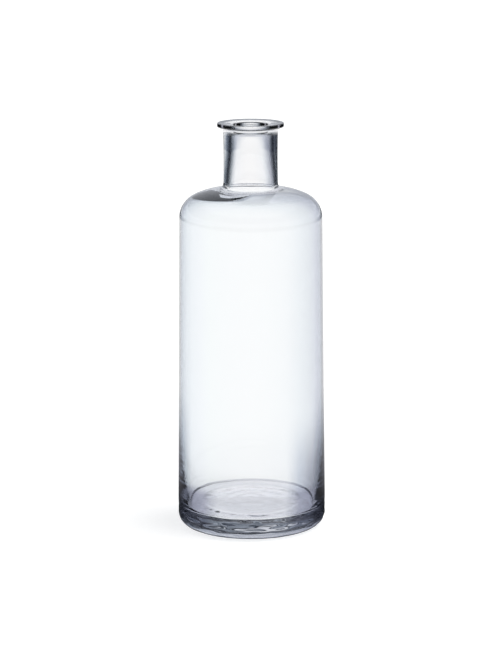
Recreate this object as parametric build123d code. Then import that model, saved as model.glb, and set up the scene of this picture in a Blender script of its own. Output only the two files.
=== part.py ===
from build123d import *
import os
from math import acos, atan2, cos, hypot, pi, radians, sin, sqrt

# Bottle vase of clear blown glass: a tall body with a drawn neck, a flat lip and a heavy base
# Lengths are in millimetres and angles in degrees
# +Z is up, the axis of the vase is the Z axis, and it stands on z = 0

# Outside of the body
overall_height = 330.0
foot_diameter = 120.4
shoulder_diameter = 115.4
heel_radius = 10.6
shoulder_corner_radius = 20.5
shoulder_corner_turn = 66.0
shoulder_dome_radius = 63.5

# Neck, measured from the crown of the shoulder to the underside of the lip
neck_length = 48.7
neck_end_diameter = 44.0
neck_waist_diameter = 43.4
neck_root_radius = 8.6

# Bore of the neck, which narrows upwards and steps in at the throat under the lip
bore_root_diameter = 36.0
bore_top_diameter = 31.2
bore_root_radius = 9.0
throat_diameter = 27.6
throat_length = 5.6
throat_step_length = 5.0

# Lip laid on the end of the neck, thinner at its rim and with its top dished towards the mouth
lip_diameter = 53.3
lip_thickness = 4.2
lip_rim_thickness = 3.3
lip_crest_width = 2.2
lip_dish_depth = 1.3
lip_top_bevel = 0.6
lip_under_bevel = 1.1
mouth_bevel = 0.8

# Wall, which is thin above and thickens towards the floor and, by its rounder inside, towards the neck
wall_thickness = 2.1
shoulder_thickening = 7.4
wall_thickness_at_floor = 8.6
wall_thickening_height = 76.0
floor_corner_bevel = 2.4

# Heavy disc of glass in the foot, held a little off the ground by the ring that the vase stands on
standing_ring_width = 6.6
base_disc_thickness = 16.1
underside_hollow = 0.9

# Radii
heel_centre_radius = foot_diameter / 2 - heel_radius
corner_centre_radius = shoulder_diameter / 2 - shoulder_corner_radius
neck_end_radius = neck_end_diameter / 2
bore_root_half = bore_root_diameter / 2
bore_top_half = bore_top_diameter / 2
throat_half = throat_diameter / 2
lip_radius = lip_diameter / 2
base_disc_radius = heel_centre_radius - standing_ring_width

# Heights
floor_height = underside_hollow + base_disc_thickness
lip_underside = overall_height - lip_thickness
shoulder_crown = lip_underside - neck_length

# Each dome's centre lies on the line through the corner's centre, so the dome and corner are tangent
corner_turn = radians(shoulder_corner_turn)
centre_offset = shoulder_dome_radius - shoulder_corner_radius
dome_centre_radius = corner_centre_radius - centre_offset * cos(corner_turn)
dome_reach = sqrt(shoulder_dome_radius**2 - (neck_end_radius - dome_centre_radius) ** 2)
dome_centre_height = shoulder_crown - dome_reach
corner_centre_height = dome_centre_height + centre_offset * sin(corner_turn)

# The wall is the straight line that is tangent to the heel's arc and the shoulder's arc
centre_run = corner_centre_radius - heel_centre_radius
centre_climb = corner_centre_height - heel_radius
centre_distance = hypot(centre_run, centre_climb)
wall_turn = atan2(centre_climb, centre_run)
wall_turn -= acos((heel_radius - shoulder_corner_radius) / centre_distance)

heel_centre = (heel_centre_radius, heel_radius)
corner_centre = (corner_centre_radius, corner_centre_height)
dome_centre = (dome_centre_radius, dome_centre_height)


def on_arc(centre, radius, turn):
    """The point of a circle at an angle in radians from straight outwards."""
    return (centre[0] + radius * cos(turn), centre[1] + radius * sin(turn))


def arc(centre, radius, start, end):
    """An arc about a centre, between two angles in radians."""
    middle = on_arc(centre, radius, (start + end) / 2)
    return ThreePointArc(on_arc(centre, radius, start), middle, on_arc(centre, radius, end))


def dome_turn(centre, radius, at_radius):
    """Angle on a dome at which it stands over a radius from the vase's axis."""
    return acos((at_radius - centre[0]) / radius)


def wall_radius(height, inset):
    """Radius of the tapering wall at a height, on a line set inwards from its outer face."""
    heel_side = on_arc(heel_centre, heel_radius - inset, wall_turn)
    return heel_side[0] - (height - heel_side[1]) * sin(wall_turn) / cos(wall_turn)


def corner_at(section, point):
    """The corner of a half section that lies at a point."""
    return section.vertices().sort_by_distance(Vector(*point))[0]


def turned(section):
    """The solid that a half section makes when it is turned about the axis."""
    return revolve(Plane.XZ * section, axis=Axis.Z)


def blown_body():
    """The bubble of glass: a thick foot, a wall that thins as it climbs, the shoulder and the neck."""
    inner_corner_radius = shoulder_corner_radius - wall_thickness
    inner_dome_radius = shoulder_dome_radius - wall_thickness - shoulder_thickening
    inner_dome_centre = on_arc(corner_centre, inner_corner_radius - inner_dome_radius, corner_turn)
    thickening_top = floor_height + wall_thickening_height
    throat_bottom = lip_underside - throat_length

    # Corners of the outside
    outer_crown_turn = dome_turn(dome_centre, shoulder_dome_radius, neck_end_radius)
    neck_root = (neck_end_radius, shoulder_crown)
    neck_waist = (neck_waist_diameter / 2, (shoulder_crown + lip_underside) / 2)
    neck_end = (neck_end_radius, lip_underside)

    # Corners of the inside
    throat_top = (throat_half, lip_underside)
    throat_foot = (throat_half, throat_bottom)
    bore_top = (bore_top_half, throat_bottom - throat_step_length)
    inner_crown_turn = dome_turn(inner_dome_centre, inner_dome_radius, bore_root_half)
    bore_root = on_arc(inner_dome_centre, inner_dome_radius, inner_crown_turn)
    thickening_start = (wall_radius(thickening_top, wall_thickness), thickening_top)
    down_the_wall = (sin(wall_turn), -cos(wall_turn))
    floor_corner = (wall_radius(floor_height, wall_thickness_at_floor), floor_height)

    outside = Curve() + [
        Line((base_disc_radius, 0), (heel_centre_radius, 0)),
        arc(heel_centre, heel_radius, -pi / 2, wall_turn),
        Line(
            on_arc(heel_centre, heel_radius, wall_turn),
            on_arc(corner_centre, shoulder_corner_radius, wall_turn),
        ),
        arc(corner_centre, shoulder_corner_radius, wall_turn, corner_turn),
        arc(dome_centre, shoulder_dome_radius, corner_turn, outer_crown_turn),
        ThreePointArc(neck_root, neck_waist, neck_end),
        Line(neck_end, throat_top),
    ]
    inside = Curve() + [
        Polyline(throat_top, throat_foot, bore_top, bore_root),
        arc(inner_dome_centre, inner_dome_radius, inner_crown_turn, corner_turn),
        arc(corner_centre, inner_corner_radius, corner_turn, wall_turn),
        Line(on_arc(corner_centre, inner_corner_radius, wall_turn), thickening_start),
        TangentArc(thickening_start, floor_corner, tangent=down_the_wall),
        Polyline(floor_corner, (base_disc_radius, floor_height), (base_disc_radius, 0)),
    ]
    section = make_face(outside + inside)
    section = fillet(corner_at(section, neck_root), radius=neck_root_radius)
    section = fillet(corner_at(section, bore_root), radius=bore_root_radius)
    section = chamfer(corner_at(section, floor_corner), length=floor_corner_bevel)
    return turned(section)


def heavy_base():
    """The solid disc of glass that fills the foot, from the hollowed underside to the floor."""
    return Pos(0, 0, underside_hollow) * Cylinder(
        base_disc_radius, base_disc_thickness, align=(Align.CENTER, Align.CENTER, Align.MIN)
    )


def lip_ring():
    """The flat ring of glass laid on the end of the neck, its edges eased where they melted."""
    neck_joint = (neck_end_radius, lip_underside)
    under_edge = (lip_radius, overall_height - lip_rim_thickness)
    top_edge = (lip_radius, overall_height)
    crest = (lip_radius - lip_crest_width, overall_height)
    mouth_edge = (throat_half, overall_height - lip_dish_depth)
    throat_edge = (throat_half, lip_underside)
    outline = Polyline(throat_edge, neck_joint, under_edge, top_edge, crest, mouth_edge, close=True)
    section = make_face(outline)
    section = chamfer(corner_at(section, under_edge), length=lip_under_bevel)
    section = chamfer(corner_at(section, top_edge), length=lip_top_bevel)
    section = chamfer(corner_at(section, mouth_edge), length=mouth_bevel)
    return turned(section)


os.makedirs("parts", exist_ok=True)
export_step(blown_body(), "parts/blown_body.step")
export_step(heavy_base(), "parts/heavy_base.step")
export_step(lip_ring(), "parts/lip_ring.step")
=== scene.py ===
"""Clear glass bottle vase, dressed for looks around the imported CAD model."""

import math

import bmesh
import bpy
from mathutils import Matrix, Vector, noise


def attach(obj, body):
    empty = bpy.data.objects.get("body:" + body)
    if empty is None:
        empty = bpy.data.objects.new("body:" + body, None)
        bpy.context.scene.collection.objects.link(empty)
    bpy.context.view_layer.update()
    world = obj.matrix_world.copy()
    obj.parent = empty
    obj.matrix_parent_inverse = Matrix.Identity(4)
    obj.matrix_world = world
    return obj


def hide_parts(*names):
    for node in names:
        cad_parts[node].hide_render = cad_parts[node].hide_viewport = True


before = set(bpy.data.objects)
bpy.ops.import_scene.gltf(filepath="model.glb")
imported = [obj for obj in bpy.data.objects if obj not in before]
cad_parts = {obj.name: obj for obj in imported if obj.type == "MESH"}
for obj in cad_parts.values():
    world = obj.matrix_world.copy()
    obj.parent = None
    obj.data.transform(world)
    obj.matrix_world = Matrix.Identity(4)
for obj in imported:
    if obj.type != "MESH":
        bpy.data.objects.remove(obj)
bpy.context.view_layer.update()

MM = 0.001

# Sizes of the glass in millimetres, as in the part's source
OVERALL_HEIGHT = 330.0
FOOT_DIAMETER = 120.4
SHOULDER_DIAMETER = 115.4
HEEL_RADIUS = 10.6
STANDING_RING_WIDTH = 6.6
UNDERSIDE_HOLLOW = 0.9
SHOULDER_CORNER_RADIUS = 20.5
SHOULDER_CORNER_TURN = math.radians(66)
SHOULDER_DOME_RADIUS = 63.5
NECK_LENGTH = 48.7
NECK_END_DIAMETER = 44.0
NECK_WAIST_DIAMETER = 43.4
BORE_ROOT_DIAMETER = 36.0
BORE_TOP_DIAMETER = 31.2
THROAT_DIAMETER = 27.6
LIP_DIAMETER = 53.3
LIP_THICKNESS = 4.2
LIP_RIM_THICKNESS = 3.3
LIP_CREST_WIDTH = 2.2
LIP_DISH_DEPTH = 1.3
WALL_THICKNESS = 2.1
FLOOR_HEIGHT = 17.0

# Sizes in millimetres that the look of the glass needs a little other than the part's source has them
NECK_ROOT_RADIUS = 9.6
BORE_ROOT_RADIUS = 14.0
THROAT_LENGTH = 3.4
THROAT_STEP_LENGTH = 14.0
WALL_THICKNESS_AT_FLOOR = 7.2
WALL_THICKENING_HEIGHT = 62.0

# Sizes in millimetres that only the look has
FLOOR_RISE = 0.7
FLOOR_CORNER_RADIUS = 7.0
LIP_UNDER_EDGE_RADIUS = 0.8
LIP_TOP_EDGE_RADIUS = 0.6
LIP_CREST_EASE = 1.5
MOUTH_EDGE_RADIUS = 1.3
THROAT_EASE = 40.0

# Steps in which each stretch of the half section is drawn, and steps of a full turn
UNDERSIDE_STEPS = 16
STANDING_RING_STEPS = 2
HEEL_STEPS = 22
LOW_WALL_STEPS = 20
WALL_STEPS = 50
SHOULDER_CORNER_STEPS = 18
OUTER_DOME_STEPS = 8
NECK_STEPS = 10
LIP_DISH_STEPS = 4
BORE_STEPS = 8
INNER_DOME_STEPS = 24
INNER_WALL_STEPS = 36
THICK_WALL_STEPS = 26
FLOOR_STEPS = 34
TURNING_STEPS = 240
LOW_WALL_SHARE = 0.08  # of the wall, drawn finer because the heel's waves run out in it

# Segments that round each corner of the half section
NECK_ROOT_SEGMENTS = 10
LIP_UNDER_EDGE_SEGMENTS = 6
LIP_TOP_EDGE_SEGMENTS = 5
LIP_CREST_SEGMENTS = 3
MOUTH_EDGE_SEGMENTS = 6
THROAT_SEGMENTS = 4
BORE_ROOT_SEGMENTS = 10
FLOOR_CORNER_SEGMENTS = 8
MERGE_DISTANCE = 0.001

# Waves of the underside in millimetres, deepest near the ring that the vase stands on
UNDERSIDE_WAVE_WIDTH = 12.0
UNDERSIDE_WAVE_DEPTH = 0.4
UNDERSIDE_WAVE_RADIUS = 38.0
UNDERSIDE_WAVE_SPREAD = 14.0
UNDERSIDE_WAVE_NARROWING = 1.6
UNDERSIDE_WAVE_LAYER = 3.0
UNDERSIDE_FINE_WAVES = 2.3
UNDERSIDE_FINE_SHARE = 0.25
UNDERSIDE_MIDDLE_SHARE = 0.06
UNDERSIDE_EDGE_EASE = 4.0
UNDERSIDE_MARGIN = 0.1

# Rings that turning leaves in the floor, and its one low ridge, in millimetres
FLOOR_RIPPLE_WIDTH = 11.0
FLOOR_RIPPLE_DEPTH = 0.03
FLOOR_RIDGE_RADIUS = 42.0
FLOOR_RIDGE_WIDTH = 1.9
FLOOR_RIDGE_HEIGHT = 0.32
FLOOR_WARP_WIDTH = 25.0
FLOOR_WARP_LAYER = 9.0
FLOOR_WARP_SHARE = 0.6
FLOOR_WARP_RIPPLES = 2.0
FLOOR_EDGE_MARGIN = 3.0
FLOOR_MARGIN = 2.0

# Dents of the wall, of the heel and of the inside above the floor, in millimetres
WALL_WAVE_WIDTH = 60.0
WALL_WAVE_DEPTH = 0.12
WALL_WAVE_LENGTHENING = 0.6
WALL_INSIDE_LAYER = 200.0
WALL_TOP_MARGIN = 1.0
HEEL_WAVE_WIDTH = 12.0
HEEL_WAVE_HEIGHT = 3.0
HEEL_WAVE_DEPTH = 0.45
HEEL_WAVE_SWING = 0.7
HEEL_WAVE_TOP = 24.0
HEEL_WAVE_FADE = 10.0
RING_WAVE_WIDTH = 70.0
RING_WAVE_HEIGHT = 4.0
RING_WAVE_DEPTH = 0.04
RING_WAVE_TOP = 75.0
RING_WAVE_FADE = 40.0

# Swelling that sags inside the shoulder, in millimetres, and in degrees clockwise from the front
SHOULDER_SWELL = 2.2
SWELL_BOTTOM = 255.0
SWELL_TOP = 282.0
SWELL_START = -8.0
SWELL_RISE = 50.0
SWELL_END = 170.0
SWELL_FALL = 40.0
SWELL_OUTER_REACH = 40.5
SWELL_OUTER_EASE = 17.0
SWELL_WIDENING = 6.0
SWELL_WIDENING_TURN = 80.0
SWELL_INNER_REACH = 19.0
SWELL_INNER_EASE = 5.0
SWELL_RIPPLE_DEPTH = 0.06
SWELL_RIPPLE_TURN = 25.0
SWELL_RIPPLE_WIDTH = 1.6

# How the faces of the bubble's inside are told: normals as shares, margins in millimetres
INWARD_LEAN = -0.02
UPWARD_LEAN = 0.5
INNER_FLOOR_MARGIN = 10.0
INNER_TOP_MARGIN = 0.5

# Soda-lime glass: its index, the grey-blue that it takes per metre, and the tint of lamp light behind it
GLASS_INDEX = 1.5
ABSORPTION = 4.0
ABSORPTION_COLOUR = "#AAA6B8"
SHADOW_COLOUR = "#D4D7DA"

# Mirrorings inside the wall after which a painted glow stands in for guided light, and its painted streaks in
# millimetres
GUIDED_MIRRORINGS = 3.5
STREAK_LENGTH = 26.0
STREAK_HEIGHT = 4.0
STREAK_DETAIL = 2.0

# Heights in millimetres between which one tone of the glass's painted shade gives way to the next
HEIGHT_SPANS = {
    "above_heel": (4, 13),
    "above_floor": (21, 25),
    "dim_begins": (30, 42),
    "above_thick_foot": (34, 44),
    "dim_ends": (44, 105),
    "above_foot": (60, 130),
    "above_streaks": (80, 200),
    "above_shoulder": (272, 284),
    "up_the_neck": (281, 318),
    "above_neck": (325.0, 326.4),
}
# Distances from the axis in millimetres, and sideways and upward shares of the normal, that do the same
REACH_SPANS = {"off_crest": (22.0, 18.5)}
SIDEWAYS_SPANS = {"neck_side": (-0.2, 0.2), "wall_side": (-0.5, 0.5), "dim_side": (0.0, 0.4)}
UPWARD_SPANS = {"neck_slope": (0.15, 0.5), "lip_flat": (0.8, 0.97)}

# Painted shade of the glass by how far it turns from the eye, its left and right sides shaded apart, with a
# painted highlight on the lip's edge: 0 is seen face on and 1 edge on
FACING_TONES = {
    "wall_left": (
        (0.0, "#F9FBFC"), (0.2, "#F6FAFB"), (0.3, "#F3F7FA"), (0.43, "#EEF3F7"), (0.564, "#E2E9EF"),
        (0.632, "#D8DFE7"), (0.72, "#C3CAD4"), (0.782, "#B4B9C0"), (0.85, "#A8ACB1"),
    ),
    "wall_right": (
        (0.0, "#F9FBFC"), (0.137, "#F5F8FA"), (0.286, "#EBF0F4"), (0.4, "#E3E8ED"), (0.507, "#DADFE7"),
        (0.564, "#D1D6E0"), (0.632, "#C8CDD9"), (0.72, "#BDC2CE"), (0.782, "#A5A9B2"), (0.85, "#9A9EA5"),
    ),
    # Painted shade on the side towards +X in the thick lower wall
    "dim": ((0.15, "#FFFFFF"), (0.265, "#DDE0E8"), (0.414, "#C6C7CF"), (0.57, "#BABCC2")),
    "thick_foot": (
        (0.0, "#FFFFFF"), (0.14, "#FFFFFF"), (0.26, "#CCCCD6"), (0.4, "#BCBCC8"), (0.6, "#A4A4B0"),
        (0.72, "#92929C"),
    ),
    "thin_foot": ((0.0, "#FFFFFF"), (0.45, "#FFFFFF"), (0.7, "#C0C6CE"), (0.85, "#8C949C")),
    # Painted dark shade on the lip's edge with a painted highlight between 0.45 and 0.5, then painted shade
    # on its crest
    "lip_edge": (
        (0.0, "#FFFFFF"), (0.08, "#C8CCD2"), (0.14, "#70757C"), (0.2, "#14181E"), (0.24, "#000000"),
        (0.42, "#000000"), (0.45, "#A8A8B0"), (0.5, "#A8A8B0"), (0.54, "#000000"), (0.9, "#000000"),
    ),
    "lip_crest": ((0.0, "#FFFFFF"), (0.55, "#FFFFFF"), (0.74, "#8A9098"), (0.86, "#14171C")),
}
# Painted shade of the neck in the same way, dark bands near its edges, and the share of its turn that it
# keeps at its foot
NECK_FOOT_SHARE = 0.68
NECK_TONES = {
    "neck_left": (
        (0.0, "#FFFFFF"), (0.137, "#F8FAFC"), (0.175, "#DFE3E8"), (0.2, "#CBD0D6"), (0.23, "#A6ACB3"),
        (0.262, "#868C93"), (0.298, "#585E66"), (0.339, "#30343C"), (0.382, "#4A505A"), (0.432, "#6A727C"),
        (0.49, "#8C949E"), (0.558, "#BCC4CC"), (0.643, "#ECF0F2"), (0.757, "#E8ECEE"),
    ),
    "neck_right": (
        (0.0, "#FFFFFF"), (0.097, "#F8FAFC"), (0.137, "#EAEDF2"), (0.185, "#D2D6DE"), (0.243, "#B8BCC6"),
        (0.276, "#A2A6B0"), (0.313, "#7C828C"), (0.355, "#5C6068"), (0.401, "#40444C"), (0.454, "#3A3E46"),
        (0.514, "#6A7078"), (0.588, "#4A4E56"), (0.682, "#5A5E66"),
    ),
}
# Painted shade on the bubble's floor, greyer where it slopes up into the wall, by how level it lies
LEVEL_TONES = {"floor": ((0.3, "#FFFFFF"), (0.45, "#B8B8C4"), (0.93, "#BCBCC8"), (0.995, "#FAF8FF"))}

# How the tones of painted shade and highlight are laid together: the name of each result, the mix, the share,
# and the tones at 0 and at 1
WHITE = (1, 1, 1, 1)
MIX = {"data_type": "RGBA"}
MULTIPLY = {"data_type": "RGBA", "blend_type": "MULTIPLY"}
TONE_LAYERS = (
    ("neck", MIX, "neck_side", "neck_left", "neck_right"),
    ("neck", MIX, "neck_slope", "neck", "white"),
    ("foot", MIX, "above_heel", "white", "thick_foot"),
    ("foot", MIX, "above_thick_foot", "foot", "thin_foot"),
    ("foot", MIX, "above_foot", "foot", "white"),
    ("wall", MIX, "wall_side", "wall_left", "wall_right"),
    ("wall", MULTIPLY, "whole", "wall", "foot"),
    ("dim", MIX, "dim_ends", "dim", "white"),
    ("wall", MULTIPLY, "dim", "wall", "dim"),
    ("lip_top", MIX, "off_crest", "lip_crest", "white"),
    ("lip", MIX, "lip_flat", "lip_edge", "lip_top"),
    ("skin", MIX, "above_shoulder", "wall", "neck"),
    ("skin", MIX, "above_neck", "skin", "lip"),
    ("skin", MULTIPLY, "whole", "skin", "skin"),
    ("inner", MIX, "above_floor", "floor", "white"),
    ("entering", MIX, "inside", "skin", "inner"),
    ("painted_tone", MIX, "leaving", "entering", "white"),
)

# Painted glow for guided light: its dark and pale painted streaks in the foot by a noise, and its tones above
# them, a painted dark band at the shoulder among them, by the share of the vase's height
STREAK_TONES = ((0.4, "#060708"), (0.48, "#292C31"), (0.53, "#6B6F76"), (0.59, "#A9ADB3"), (0.66, "#CDD0D4"))
GUIDED_TONES = (
    (0.0, "#9AA0A8"), (0.775, "#9AA0A8"), (0.8, "#1A1D22"), (0.84, "#1A1D22"), (0.865, "#FFFFFF"),
    (1.0, "#FFFFFF"),
)

# The paper floor, in metres and as strengths of the light that it sends to each kind of ray, a painted pool
# of light under the vase for bent rays among them, and the painted dark tones that mirrored rays find on it
PAPER_SIZE = 12.0
PAPER_DROP = 0.0003
PAPER_COLOUR = "#BCBCBC"
PAPER_SEEN = 0.525
PAPER_STRAIGHT = 0.155
PAPER_BENEATH = 0.255
BENEATH_EDGE = (0.065, 0.05)
MIRROR_REACH = 4.0
MIRROR_FLOOR_TONES = (
    (0.0, "#14181E"), (0.025, "#24282E"), (0.055, "#9A9AA2"), (0.09, "#D4D6DA"), (0.13, "#FFFFFF"),
    (0.475, "#FFFFFF"), (0.525, "#22262C"), (1.0, "#22262C"),
)

# The room above the paper, from straight down at 0 to straight up at 1
ROOM_TONES = (
    (0.0, "#FFFFFF"), (0.507, "#FFFFFF"), (0.524, "#CED1DA"), (0.552, "#C8CBD4"), (0.575, "#E4E7EC"),
    (0.6, "#FFFFFF"), (0.624, "#E8ECF2"), (0.636, "#20262F"), (0.652, "#5A626E"), (0.668, "#D0D6E0"),
    (0.68, "#4A525C"), (0.7, "#A8B0BA"), (0.722, "#5A626C"), (0.74, "#B8C0CA"), (0.765, "#788088"),
    (0.79, "#A8B0BA"), (0.815, "#8C949E"), (0.87, "#FFFFFF"), (0.95, "#FFFFFF"),
)
MIRRORED_ROOM_COLOUR = "#DCE0E8"
AMBIENT = 0.3

# The lamp, in metres and degrees
SUN_PLACE = (0.65, -0.1, 2.0)
SUN_ENERGY = 2.3
SUN_ANGLE = 34.0

# The camera of the photograph, in metres, degrees and radians of roll, with the lens in millimetres
CAMERA_DISTANCE = 2.106
CAMERA_ELEVATION = 11.27
CAMERA_SIDE = -0.0009
CAMERA_AIM_HEIGHT = 0.1669
CAMERA_ROLL = -0.0032
CAMERA_LENS = 144.9
CAMERA_NEAR = 0.1
CAMERA_FAR = 50.0
SENSOR_HEIGHT = 36.0

# Radii and heights that follow from the sizes
HEEL_REACH = FOOT_DIAMETER / 2 - HEEL_RADIUS
FLOOR_REACH = FOOT_DIAMETER / 2 - WALL_THICKNESS_AT_FLOOR
LIP_RADIUS = LIP_DIAMETER / 2
THROAT_RADIUS = THROAT_DIAMETER / 2
BORE_TOP_RADIUS = BORE_TOP_DIAMETER / 2
NECK_RADIUS = NECK_END_DIAMETER / 2
LIP_UNDERSIDE = OVERALL_HEIGHT - LIP_THICKNESS


def run(section, tip, x, z, steps=1):
    """Draws a straight stretch of the section from its tip to a point, in equal steps."""
    stride = (Vector((x, 0, z)) - tip.co) / steps
    for _ in range(steps):
        tip = bmesh.ops.extrude_vert_indiv(section, verts=[tip])["verts"][0]
        bmesh.ops.translate(section, verts=[tip], vec=stride)
    return tip


def sweep(section, tip, centre, turn, steps):
    """Draws an arc of the section from its tip, by an angle about a centre."""
    made = bmesh.ops.spin(
        section, geom=[tip], cent=(centre[0], 0, centre[1]), axis=(0, -1, 0), angle=turn, steps=steps
    )
    return [part for part in made["geom_last"] if isinstance(part, bmesh.types.BMVert)][0]


def ease(section, corner, radius, segments):
    """Rounds a corner of the section to about a radius."""
    sides = [(edge.other_vert(corner).co - corner.co).normalized() for edge in corner.link_edges]
    half_angle = sides[0].angle(sides[1]) / 2
    bmesh.ops.bevel(
        section,
        geom=[corner],
        offset=radius / math.tan(half_angle),
        offset_type="OFFSET",
        segments=segments,
        profile=0.5,
        affect="VERTICES",
        material=-1,
    )


def at(centre, radius, turn):
    """The point of a circle at an angle from straight outwards."""
    return (centre[0] + radius * math.cos(turn), centre[1] + radius * math.sin(turn))


def wall_x(heel_centre, wall_turn, height, inset):
    """Distance from the axis of a line set inwards from the wall's outer face."""
    side = at(heel_centre, HEEL_RADIUS - inset, wall_turn)
    return side[0] - (height - side[1]) * math.tan(wall_turn)


def glass_section():
    """Half section of the vessel, from the middle of its underside round to the middle of its floor."""
    crown = LIP_UNDERSIDE - NECK_LENGTH
    heel_centre = (HEEL_REACH, HEEL_RADIUS)
    corner_x = SHOULDER_DIAMETER / 2 - SHOULDER_CORNER_RADIUS
    offset = SHOULDER_DOME_RADIUS - SHOULDER_CORNER_RADIUS
    dome_x = corner_x - offset * math.cos(SHOULDER_CORNER_TURN)
    dome_z = crown - math.sqrt(SHOULDER_DOME_RADIUS**2 - (NECK_RADIUS - dome_x) ** 2)
    dome_centre = (dome_x, dome_z)
    corner_centre = (corner_x, dome_z + offset * math.sin(SHOULDER_CORNER_TURN))
    across = (corner_centre[0] - heel_centre[0], corner_centre[1] - heel_centre[1])
    wall_turn = math.atan2(across[1], across[0])
    wall_turn -= math.acos((HEEL_RADIUS - SHOULDER_CORNER_RADIUS) / math.hypot(*across))

    # Outside, from the hollowed underside to the end of the neck
    section = bmesh.new()
    tip = section.verts.new((0, 0, UNDERSIDE_HOLLOW))
    ring_inside = HEEL_REACH - STANDING_RING_WIDTH
    hollow_radius = (ring_inside**2 + UNDERSIDE_HOLLOW**2) / (2 * UNDERSIDE_HOLLOW)
    hollow_centre = (0, UNDERSIDE_HOLLOW - hollow_radius)
    tip = sweep(section, tip, hollow_centre, -math.asin(ring_inside / hollow_radius), UNDERSIDE_STEPS)
    tip = run(section, tip, HEEL_REACH, 0, STANDING_RING_STEPS)
    tip = sweep(section, tip, heel_centre, math.pi / 2 + wall_turn, HEEL_STEPS)
    wall_top = at(corner_centre, SHOULDER_CORNER_RADIUS, wall_turn)
    low_wall_top = (
        tip.co.x + (wall_top[0] - tip.co.x) * LOW_WALL_SHARE,
        tip.co.z + (wall_top[1] - tip.co.z) * LOW_WALL_SHARE,
    )
    tip = run(section, tip, *low_wall_top, LOW_WALL_STEPS)
    tip = run(section, tip, *wall_top, WALL_STEPS)
    tip = sweep(section, tip, corner_centre, SHOULDER_CORNER_TURN - wall_turn, SHOULDER_CORNER_STEPS)
    crown_turn = math.acos((NECK_RADIUS - dome_x) / SHOULDER_DOME_RADIUS)
    neck_root = sweep(section, tip, dome_centre, crown_turn - SHOULDER_CORNER_TURN, OUTER_DOME_STEPS)
    waist = (NECK_END_DIAMETER - NECK_WAIST_DIAMETER) / 2
    bow = ((NECK_LENGTH / 2) ** 2 + waist**2) / (2 * waist)
    neck_centre = (NECK_RADIUS - waist + bow, (crown + LIP_UNDERSIDE) / 2)
    tip = sweep(section, neck_root, neck_centre, -2 * math.asin(NECK_LENGTH / 2 / bow), NECK_STEPS)

    # Lip, and the bore down to the shoulder's inside
    lip_under = run(section, tip, LIP_RADIUS, OVERALL_HEIGHT - LIP_RIM_THICKNESS)
    lip_top = run(section, lip_under, LIP_RADIUS, OVERALL_HEIGHT)
    lip_crest = run(section, lip_top, LIP_RADIUS - LIP_CREST_WIDTH, OVERALL_HEIGHT)
    mouth = run(section, lip_crest, THROAT_RADIUS, OVERALL_HEIGHT - LIP_DISH_DEPTH, LIP_DISH_STEPS)
    throat_z = LIP_UNDERSIDE - THROAT_LENGTH
    throat = run(section, mouth, THROAT_RADIUS, throat_z)
    bore_top = run(section, throat, BORE_TOP_RADIUS, throat_z - THROAT_STEP_LENGTH)
    inner_dome = SHOULDER_DOME_RADIUS - WALL_THICKNESS
    bore_turn = math.acos((BORE_ROOT_DIAMETER / 2 - dome_x) / inner_dome)
    bore_root = run(section, bore_top, *at(dome_centre, inner_dome, bore_turn), BORE_STEPS)

    # Inside, down the wall that thickens by a tangent arc, to the middle of the floor
    tip = sweep(section, bore_root, dome_centre, SHOULDER_CORNER_TURN - bore_turn, INNER_DOME_STEPS)
    tip = sweep(section, tip, corner_centre, wall_turn - SHOULDER_CORNER_TURN, SHOULDER_CORNER_STEPS)
    thickening_top = FLOOR_HEIGHT + WALL_THICKENING_HEIGHT
    start = (wall_x(heel_centre, wall_turn, thickening_top, WALL_THICKNESS), thickening_top)
    tip = run(section, tip, *start, INNER_WALL_STEPS)
    floor_x = wall_x(heel_centre, wall_turn, FLOOR_HEIGHT, WALL_THICKNESS_AT_FLOOR)
    chord = (floor_x - start[0], FLOOR_HEIGHT - start[1])
    lean = math.atan2(
        math.sin(wall_turn) * chord[1] + math.cos(wall_turn) * chord[0],
        math.sin(wall_turn) * chord[0] - math.cos(wall_turn) * chord[1],
    )
    bend = math.hypot(*chord) / (2 * math.sin(-lean))
    floor_edge = sweep(section, tip, at(start, -bend, wall_turn), 2 * lean, THICK_WALL_STEPS)
    dish = (floor_x**2 + FLOOR_RISE**2) / (2 * FLOOR_RISE)
    dish_centre = (0, FLOOR_HEIGHT + FLOOR_RISE - dish)
    tip = sweep(section, floor_edge, dish_centre, math.asin(floor_x / dish), FLOOR_STEPS)
    tip.co = (0, 0, FLOOR_HEIGHT + FLOOR_RISE)

    for corner, radius, segments in (
        (neck_root, NECK_ROOT_RADIUS, NECK_ROOT_SEGMENTS),
        (lip_under, LIP_UNDER_EDGE_RADIUS, LIP_UNDER_EDGE_SEGMENTS),
        (lip_top, LIP_TOP_EDGE_RADIUS, LIP_TOP_EDGE_SEGMENTS),
        (lip_crest, LIP_CREST_EASE, LIP_CREST_SEGMENTS),
        (mouth, MOUTH_EDGE_RADIUS, MOUTH_EDGE_SEGMENTS),
        (throat, THROAT_EASE, THROAT_SEGMENTS),
        (bore_top, THROAT_EASE, THROAT_SEGMENTS),
        (bore_root, BORE_ROOT_RADIUS, BORE_ROOT_SEGMENTS),
        (floor_edge, FLOOR_CORNER_RADIUS, FLOOR_CORNER_SEGMENTS),
    ):
        ease(section, corner, radius, segments)
    return section


def share_of(value):
    """A value held between 0 and 1."""
    return max(0, min(1, value))


def underside_lift(x, y, reach):
    """How far the waves of the underside lift it at a spot."""
    swirl = Vector((x, y * UNDERSIDE_WAVE_NARROWING, UNDERSIDE_WAVE_LAYER)) / UNDERSIDE_WAVE_WIDTH
    lift = 0.5 + 0.5 * noise.noise(swirl)
    lift += UNDERSIDE_FINE_SHARE * noise.noise(swirl * UNDERSIDE_FINE_WAVES)
    near_ring = max(0, 1 - abs(reach - UNDERSIDE_WAVE_RADIUS) / UNDERSIDE_WAVE_SPREAD)
    depth = UNDERSIDE_MIDDLE_SHARE + (1 - UNDERSIDE_MIDDLE_SHARE) * near_ring
    edge = min(1, (HEEL_REACH - reach) / UNDERSIDE_EDGE_EASE)
    return UNDERSIDE_WAVE_DEPTH * depth * max(0, lift) * edge


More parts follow.
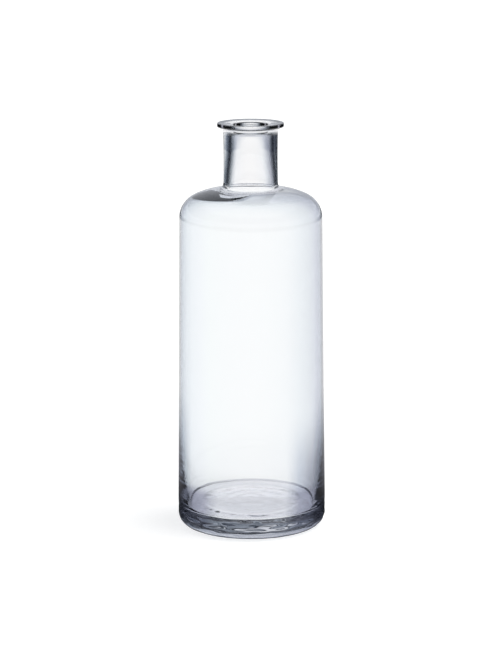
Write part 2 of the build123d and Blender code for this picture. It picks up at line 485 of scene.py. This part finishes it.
def floor_lift(x, y, reach):
    """How far the ripples and the ridge lift the floor at a spot."""
    warp = noise.noise(Vector((x, y, FLOOR_WARP_LAYER)) / FLOOR_WARP_WIDTH)
    rings = math.sin(2 * math.pi * (reach / FLOOR_RIPPLE_WIDTH + FLOOR_WARP_SHARE * warp))
    ridge = math.exp(-(((reach - FLOOR_RIDGE_RADIUS + warp) / FLOOR_RIDGE_WIDTH) ** 2))
    return FLOOR_RIPPLE_DEPTH * (rings + FLOOR_WARP_RIPPLES * warp) + FLOOR_RIDGE_HEIGHT * ridge


def wall_dent(x, y, z, inside):
    """How far a spot of the wall is dented towards the axis."""
    layer = WALL_INSIDE_LAYER if inside else 0
    wave = noise.noise(Vector((x, y, z * WALL_WAVE_LENGTHENING + layer)) / WALL_WAVE_WIDTH)
    dent = WALL_WAVE_DEPTH * (0.5 + 0.5 * wave)
    if not inside and z < HEEL_WAVE_TOP:
        wave = noise.noise(Vector((x / HEEL_WAVE_WIDTH, y / HEEL_WAVE_WIDTH, z / HEEL_WAVE_HEIGHT)))
        fade = min(1, (HEEL_WAVE_TOP - z) / HEEL_WAVE_FADE)
        dent += HEEL_WAVE_DEPTH * max(0, 0.5 + HEEL_WAVE_SWING * wave) * fade
    if inside and z < RING_WAVE_TOP:
        wave = noise.noise(Vector((x / RING_WAVE_WIDTH, y / RING_WAVE_WIDTH, z / RING_WAVE_HEIGHT)))
        dent -= RING_WAVE_DEPTH * wave * min(1, (RING_WAVE_TOP - z) / RING_WAVE_FADE)
    return dent


def shoulder_sag(x, y, reach):
    """How far the swelling lowers the shoulder's inside at a spot."""
    turn = math.degrees(math.atan2(-x, -y))
    along = share_of(min((turn - SWELL_START) / SWELL_RISE, (SWELL_END - turn) / SWELL_FALL))
    outer_reach = SWELL_OUTER_REACH + SWELL_WIDENING * share_of(turn / SWELL_WIDENING_TURN)
    outwards = share_of((outer_reach - reach) / SWELL_OUTER_EASE)
    inwards = share_of((reach - SWELL_INNER_REACH) / SWELL_INNER_EASE)
    ripple = noise.noise(Vector((turn / SWELL_RIPPLE_TURN, reach / SWELL_RIPPLE_WIDTH, 0)))
    sag = SHOULDER_SWELL + SWELL_RIPPLE_DEPTH * ripple
    return sag * along * along * (3 - 2 * along) * outwards * inwards


def hand_blown(glass):
    """Makes the surfaces a little uneven, as blowing and the marver leave them, and never larger."""
    for vert in glass.verts:
        x, y, z = vert.co
        reach = math.hypot(x, y)
        if reach < MERGE_DISTANCE:
            continue
        outward = Vector((x, y, 0)) / reach
        inside = vert.normal.dot(outward) < 0
        if z < UNDERSIDE_HOLLOW + UNDERSIDE_MARGIN and reach < HEEL_REACH:
            vert.co.z += underside_lift(x, y, reach)
        elif reach < FLOOR_REACH - FLOOR_EDGE_MARGIN and z < FLOOR_HEIGHT + FLOOR_MARGIN:
            vert.co.z += floor_lift(x, y, reach)
        elif z < LIP_UNDERSIDE - WALL_TOP_MARGIN:
            vert.co -= outward * wall_dent(x, y, z, inside)
            if inside and SWELL_BOTTOM < z < SWELL_TOP and reach > BORE_TOP_RADIUS:
                vert.co.z -= shoulder_sag(x, y, reach)
        vert.co.z = max(0, vert.co.z)


def glass_vessel():
    """The whole vessel as one closed skin of glass, its inner faces marked for the material."""
    glass = glass_section()
    bmesh.ops.spin(
        glass,
        geom=glass.verts[:] + glass.edges[:],
        cent=(0, 0, 0),
        axis=(0, 0, 1),
        angle=2 * math.pi,
        steps=TURNING_STEPS,
        use_merge=True,
    )
    bmesh.ops.remove_doubles(glass, verts=glass.verts, dist=MERGE_DISTANCE)
    bmesh.ops.recalc_face_normals(glass, faces=glass.faces)
    hand_blown(glass)
    inside = glass.faces.layers.float.new("inside")
    for face in glass.faces:
        face.smooth = True
        middle = face.calc_center_median()
        outward = Vector((middle.x, middle.y, 0)).normalized()
        inward = face.normal.dot(outward) < INWARD_LEAN
        on_floor = face.normal.z > UPWARD_LEAN and middle.z < FLOOR_HEIGHT + INNER_FLOOR_MARGIN
        below_lip = middle.z < LIP_UNDERSIDE - INNER_TOP_MARGIN
        face[inside] = 1.0 if below_lip and (inward or on_floor) else 0.0
    bmesh.ops.scale(glass, verts=glass.verts, vec=(MM, MM, MM))
    mesh = bpy.data.meshes.new("glass_vessel")
    glass.to_mesh(mesh)
    glass.free()
    vessel = bpy.data.objects.new("glass_vessel", mesh)
    bpy.context.scene.collection.objects.link(vessel)
    return vessel


def linear(code):
    """An sRGB hex colour as the linear colour that the shaders want."""
    parts = [int(code[i : i + 2], 16) / 255 for i in (1, 3, 5)]
    parts = [p / 12.92 if p <= 0.04045 else ((p + 0.055) / 1.055) ** 2.4 for p in parts]
    return (*parts, 1.0)


def add_node(tree, kind, settings=None, stops=(), **inputs):
    """Adds a node, sets its properties and colour stops, and sets or links its inputs by name or number."""
    node = tree.nodes.new(kind)
    for name, value in (settings or {}).items():
        setattr(node, name, value)
    if stops:
        points = node.color_ramp.elements
        points[0].position, points[1].position = stops[0][0], stops[-1][0]
        points[0].color, points[1].color = linear(stops[0][1]), linear(stops[-1][1])
        for position, code in stops[1:-1]:
            points.new(position).color = linear(code)
    for name, value in inputs.items():
        key = int(name[1:]) if name[0] == "i" and name[1:].isdigit() else name.replace("_", " ")
        if isinstance(value, bpy.types.NodeSocket):
            tree.links.new(value, node.inputs[key])
        else:
            node.inputs[key].default_value = value
    return node


def empty_tree(block):
    """The node tree of a material or world, with nothing in it."""
    block.use_nodes = True
    block.node_tree.nodes.clear()
    return block.node_tree


def painted_glass_shade(tree, spot, height):
    """Painted shade and painted highlight for the light that enters the glass, laid together from the tones
    of each part of the vase.

    The side towards +X is painted dimmer in the thick lower wall, as painted shade for the darker room on
    that side.
    """
    facing = add_node(tree, "ShaderNodeLayerWeight", Blend=0.5).outputs["Facing"]
    surface = add_node(tree, "ShaderNodeNewGeometry")
    normal = add_node(tree, "ShaderNodeSeparateXYZ", i0=surface.outputs["Normal"])
    level = add_node(tree, "ShaderNodeMath", {"operation": "ABSOLUTE"}, i0=normal.outputs["Z"]).outputs[0]
    off_axis = add_node(tree, "ShaderNodeVectorMath", {"operation": "MULTIPLY"}, i0=spot, i1=(1, 1, 0))
    reach = add_node(tree, "ShaderNodeVectorMath", {"operation": "LENGTH"}, i0=off_axis.outputs[0])
    inside = add_node(tree, "ShaderNodeAttribute", {"attribute_name": "inside"})

    share = {"whole": 1.0, "leaving": surface.outputs["Backfacing"], "inside": inside.outputs["Fac"]}
    for measure, unit, interpolation, spans in (
        (height, MM, "SMOOTHSTEP", HEIGHT_SPANS),
        (reach.outputs["Value"], MM, "LINEAR", REACH_SPANS),
        (normal.outputs["X"], 1, "LINEAR", SIDEWAYS_SPANS),
        (level, 1, "LINEAR", UPWARD_SPANS),
    ):
        for name, (low, high) in spans.items():
            span = add_node(
                tree,
                "ShaderNodeMapRange",
                {"interpolation_type": interpolation},
                i0=measure,
                i1=low * unit,
                i2=high * unit,
            )
            share[name] = span.outputs[0]
    dim = add_node(
        tree,
        "ShaderNodeMath",
        {"operation": "MULTIPLY"},
        i0=share["dim_side"],
        i1=share["dim_begins"],
    )
    share["dim"] = dim.outputs[0]

    # Towards its foot the neck's wall is thinner, so its painted dark shade lies nearer its edges
    taper = add_node(tree, "ShaderNodeMapRange", i0=share["up_the_neck"], i3=NECK_FOOT_SHARE, i4=1.0)
    neck_facing = add_node(tree, "ShaderNodeMath", {"operation": "MULTIPLY"}, i0=facing, i1=taper.outputs[0])
    tone = {"white": WHITE}
    for measure, tones in (
        (facing, FACING_TONES),
        (neck_facing.outputs[0], NECK_TONES),
        (level, LEVEL_TONES),
    ):
        for name, stops in tones.items():
            tone[name] = add_node(tree, "ShaderNodeValToRGB", stops=stops, Fac=measure).outputs["Color"]
    for name, blend, factor, first, second in TONE_LAYERS:
        mixed = add_node(tree, "ShaderNodeMix", blend, i0=share[factor], i6=tone[first], i7=tone[second])
        tone[name] = mixed.outputs[2]
    return tone["painted_tone"], share["above_streaks"]


def painted_guided_light(tree, spot, height, above_streaks):
    """Painted glow that stands in for light the thick wall leads along: dark and pale painted streaks in the
    foot, and plain tones above them with a painted dark band at the shoulder.

    The renderer ends such a ray after four mirrorings and shows black, where the real glass gives light back.
    """
    grain = (1 / (STREAK_LENGTH * MM), 1 / (STREAK_LENGTH * MM), 1 / (STREAK_HEIGHT * MM))
    drawn = add_node(tree, "ShaderNodeMapping", i0=spot, i3=grain)
    grey = add_node(tree, "ShaderNodeTexNoise", Vector=drawn.outputs[0], Scale=1.0, Detail=STREAK_DETAIL)
    streaks = add_node(tree, "ShaderNodeValToRGB", stops=STREAK_TONES, Fac=grey.outputs[0])
    climb = add_node(tree, "ShaderNodeMapRange", i0=height, i1=0.0, i2=OVERALL_HEIGHT * MM)
    higher = add_node(tree, "ShaderNodeValToRGB", stops=GUIDED_TONES, Fac=climb.outputs[0])
    guided = add_node(
        tree, "ShaderNodeMix", MIX, i0=above_streaks, i6=streaks.outputs["Color"], i7=higher.outputs["Color"]
    )
    return add_node(tree, "ShaderNodeEmission", Color=guided.outputs[2], Strength=1.0)


def blown_glass():
    """Soda-lime glass, mouth-blown and fire-polished: mirror-smooth, with painted shade where it is seen edge
    on and a painted glow where light runs inside its wall.
    """
    material = bpy.data.materials.new("blown_soda_lime_glass")
    tree = empty_tree(material)
    spot = add_node(tree, "ShaderNodeTexCoord").outputs["Object"]
    height = add_node(tree, "ShaderNodeSeparateXYZ", i0=spot).outputs["Z"]
    path = add_node(tree, "ShaderNodeLightPath")
    painted_tone, above_streaks = painted_glass_shade(tree, spot, height)
    clear = add_node(
        tree,
        "ShaderNodeBsdfPrincipled",
        Base_Color=painted_tone,
        Roughness=0.0,
        IOR=GLASS_INDEX,
        Transmission_Weight=1.0,
    )
    glow = painted_guided_light(tree, spot, height, above_streaks)
    # Rays that mirror more than GUIDED_MIRRORINGS times inside the wall show the painted glow instead of the
    # glass
    deep = add_node(
        tree,
        "ShaderNodeMath",
        {"operation": "GREATER_THAN"},
        i0=path.outputs["Glossy Depth"],
        i1=GUIDED_MIRRORINGS,
    )
    glass = add_node(
        tree, "ShaderNodeMixShader", i0=deep.outputs[0], i1=clear.outputs[0], i2=glow.outputs[0]
    )
    # Lamp light goes straight through to the floor, because bent light would take far more samples
    straight = add_node(tree, "ShaderNodeBsdfTransparent", Color=linear(SHADOW_COLOUR))
    skin = add_node(
        tree,
        "ShaderNodeMixShader",
        i0=path.outputs["Is Shadow Ray"],
        i1=glass.outputs[0],
        i2=straight.outputs[0],
    )
    body = add_node(
        tree, "ShaderNodeVolumeAbsorption", Color=linear(ABSORPTION_COLOUR), Density=ABSORPTION
    )
    add_node(tree, "ShaderNodeOutputMaterial", Surface=skin.outputs[0], Volume=body.outputs[0])
    return material


def kinds_of_rays(tree):
    """The Light Path's outputs, the rays that the camera sees by, and those that are only mirrored."""
    path = add_node(tree, "ShaderNodeLightPath").outputs
    glossy, bent = path["Is Glossy Ray"], path["Is Transmission Ray"]
    by_glass = add_node(tree, "ShaderNodeMath", {"operation": "MAXIMUM"}, i0=glossy, i1=bent).outputs[0]
    seen = add_node(tree, "ShaderNodeMath", {"operation": "MAXIMUM"}, i0=by_glass, i1=path["Is Camera Ray"])
    only = {"operation": "SUBTRACT", "use_clamp": True}
    mirrored = add_node(tree, "ShaderNodeMath", only, i0=glossy, i1=bent)
    return path, seen.outputs[0], mirrored.outputs[0]


def white_paper():
    """Matt white paper, which takes the vase's shadow and shows the camera a plain white, with a painted pool
    of light under the vase for bent rays and painted shade for mirrored rays.
    """
    material = bpy.data.materials.new("white_paper_floor")
    tree = empty_tree(material)
    path, seen, mirrored = kinds_of_rays(tree)
    spot = add_node(tree, "ShaderNodeTexCoord").outputs["Object"]
    reach = add_node(tree, "ShaderNodeVectorMath", {"operation": "LENGTH"}, i0=spot).outputs["Value"]
    paper = add_node(tree, "ShaderNodeBsdfDiffuse", Color=linear(PAPER_COLOUR))

    # Rays bent by the glass find a painted pool of light on the paper under the vase, standing for the light
    # that the glass gathers there
    far, near = BENEATH_EDGE
    beneath = add_node(tree, "ShaderNodeMapRange", i0=reach, i1=far, i2=near, i3=0.0, i4=PAPER_BENEATH)
    straight = add_node(
        tree, "ShaderNodeMath", {"operation": "MULTIPLY"}, i0=path["Is Camera Ray"], i1=PAPER_STRAIGHT
    )
    under = add_node(
        tree,
        "ShaderNodeMath",
        {"operation": "MULTIPLY_ADD"},
        i0=path["Is Transmission Ray"],
        i1=beneath.outputs[0],
        i2=straight.outputs[0],
    )
    strength = add_node(
        tree, "ShaderNodeMath", {"operation": "MULTIPLY_ADD"}, i0=seen, i1=PAPER_SEEN, i2=under.outputs[0]
    )
    glow = add_node(tree, "ShaderNodeEmission", Color=WHITE, Strength=strength.outputs[0])
    lit = add_node(tree, "ShaderNodeAddShader", i0=paper.outputs[0], i1=glow.outputs[0])

    # Mirrored rays find painted shade on the floor close to the glass, and a painted dark reflection of the
    # studio beyond the white paper
    spread = add_node(tree, "ShaderNodeMapRange", i0=reach, i1=0.0, i2=MIRROR_REACH)
    tones = add_node(tree, "ShaderNodeValToRGB", stops=MIRROR_FLOOR_TONES, Fac=spread.outputs[0])
    mirror_floor = add_node(tree, "ShaderNodeEmission", Color=tones.outputs["Color"], Strength=1.0)
    floor = add_node(
        tree, "ShaderNodeMixShader", i0=mirrored, i1=lit.outputs[0], i2=mirror_floor.outputs[0]
    )
    add_node(tree, "ShaderNodeOutputMaterial", Surface=floor.outputs[0])
    return material


def room():
    """The room above the white sweep: dim and lavender, then the bands of a ceiling with lamps."""
    world = bpy.data.worlds.new("studio")
    tree = empty_tree(world)
    path, seen, mirrored = kinds_of_rays(tree)
    direction = add_node(tree, "ShaderNodeTexCoord").outputs["Generated"]
    upward = add_node(tree, "ShaderNodeSeparateXYZ", i0=direction).outputs["Z"]
    rise = add_node(tree, "ShaderNodeMapRange", i0=upward, i1=-1.0, i2=1.0)
    bands = add_node(tree, "ShaderNodeValToRGB", stops=ROOM_TONES, Fac=rise.outputs[0])
    mirror_room = linear(MIRRORED_ROOM_COLOUR)
    by_glass = add_node(
        tree, "ShaderNodeMix", MIX, i0=mirrored, i6=bands.outputs["Color"], i7=mirror_room
    )
    plain = add_node(
        tree,
        "ShaderNodeMath",
        {"operation": "MAXIMUM"},
        i0=path["Is Camera Ray"],
        i1=path["Is Diffuse Ray"],
    )
    colour = add_node(
        tree, "ShaderNodeMix", MIX, i0=plain.outputs[0], i6=by_glass.outputs[2], i7=WHITE
    )
    ambient = add_node(
        tree, "ShaderNodeMath", {"operation": "MULTIPLY"}, i0=path["Is Diffuse Ray"], i1=AMBIENT
    )
    strength = add_node(
        tree, "ShaderNodeMath", {"operation": "MAXIMUM"}, i0=seen, i1=ambient.outputs[0]
    )
    background = add_node(
        tree, "ShaderNodeBackground", Color=colour.outputs[2], Strength=strength.outputs[0]
    )
    add_node(tree, "ShaderNodeOutputWorld", Surface=background.outputs[0])
    return world


def studio():
    """The paper floor, the room and one broad lamp that the glass doesn't mirror."""
    scene = bpy.context.scene
    bpy.ops.mesh.primitive_plane_add(size=PAPER_SIZE, location=(0, 0, -PAPER_DROP))
    floor = bpy.context.object
    floor.name = "floor"
    floor.data.materials.append(white_paper())
    scene.world = room()

    lamp = bpy.data.lights.new("sun", "SUN")
    lamp.energy = SUN_ENERGY
    lamp.angle = math.radians(SUN_ANGLE)
    sun = bpy.data.objects.new("sun", lamp)
    sun.location = SUN_PLACE
    sun.rotation_euler = (-Vector(SUN_PLACE)).to_track_quat("-Z", "Y").to_euler()
    sun.visible_glossy = False
    sun.visible_transmission = False
    scene.collection.objects.link(sun)


def camera():
    """The photograph's camera, fitted to the outline of the vase in it."""
    data = bpy.data.cameras.new("camera")
    data.sensor_fit = "VERTICAL"
    data.sensor_height = SENSOR_HEIGHT
    data.lens = CAMERA_LENS
    data.clip_start = CAMERA_NEAR
    data.clip_end = CAMERA_FAR
    eye = bpy.data.objects.new("camera", data)
    rise = math.radians(CAMERA_ELEVATION)
    back = Vector((0, -math.cos(rise), math.sin(rise)))
    eye.location = Vector((CAMERA_SIDE, 0, CAMERA_AIM_HEIGHT)) + back * CAMERA_DISTANCE
    look = (-back).to_track_quat("-Z", "Y").to_matrix()
    eye.rotation_euler = (look @ Matrix.Rotation(CAMERA_ROLL, 3, "Z")).to_euler()
    bpy.context.scene.collection.objects.link(eye)
    bpy.context.scene.camera = eye


camera()
vessel = glass_vessel()
vessel.data.materials.append(blown_glass())
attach(vessel, "root")
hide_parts("blown_body", "heavy_base", "lip_ring")
studio()
bpy.context.scene.view_settings.view_transform = "Standard"
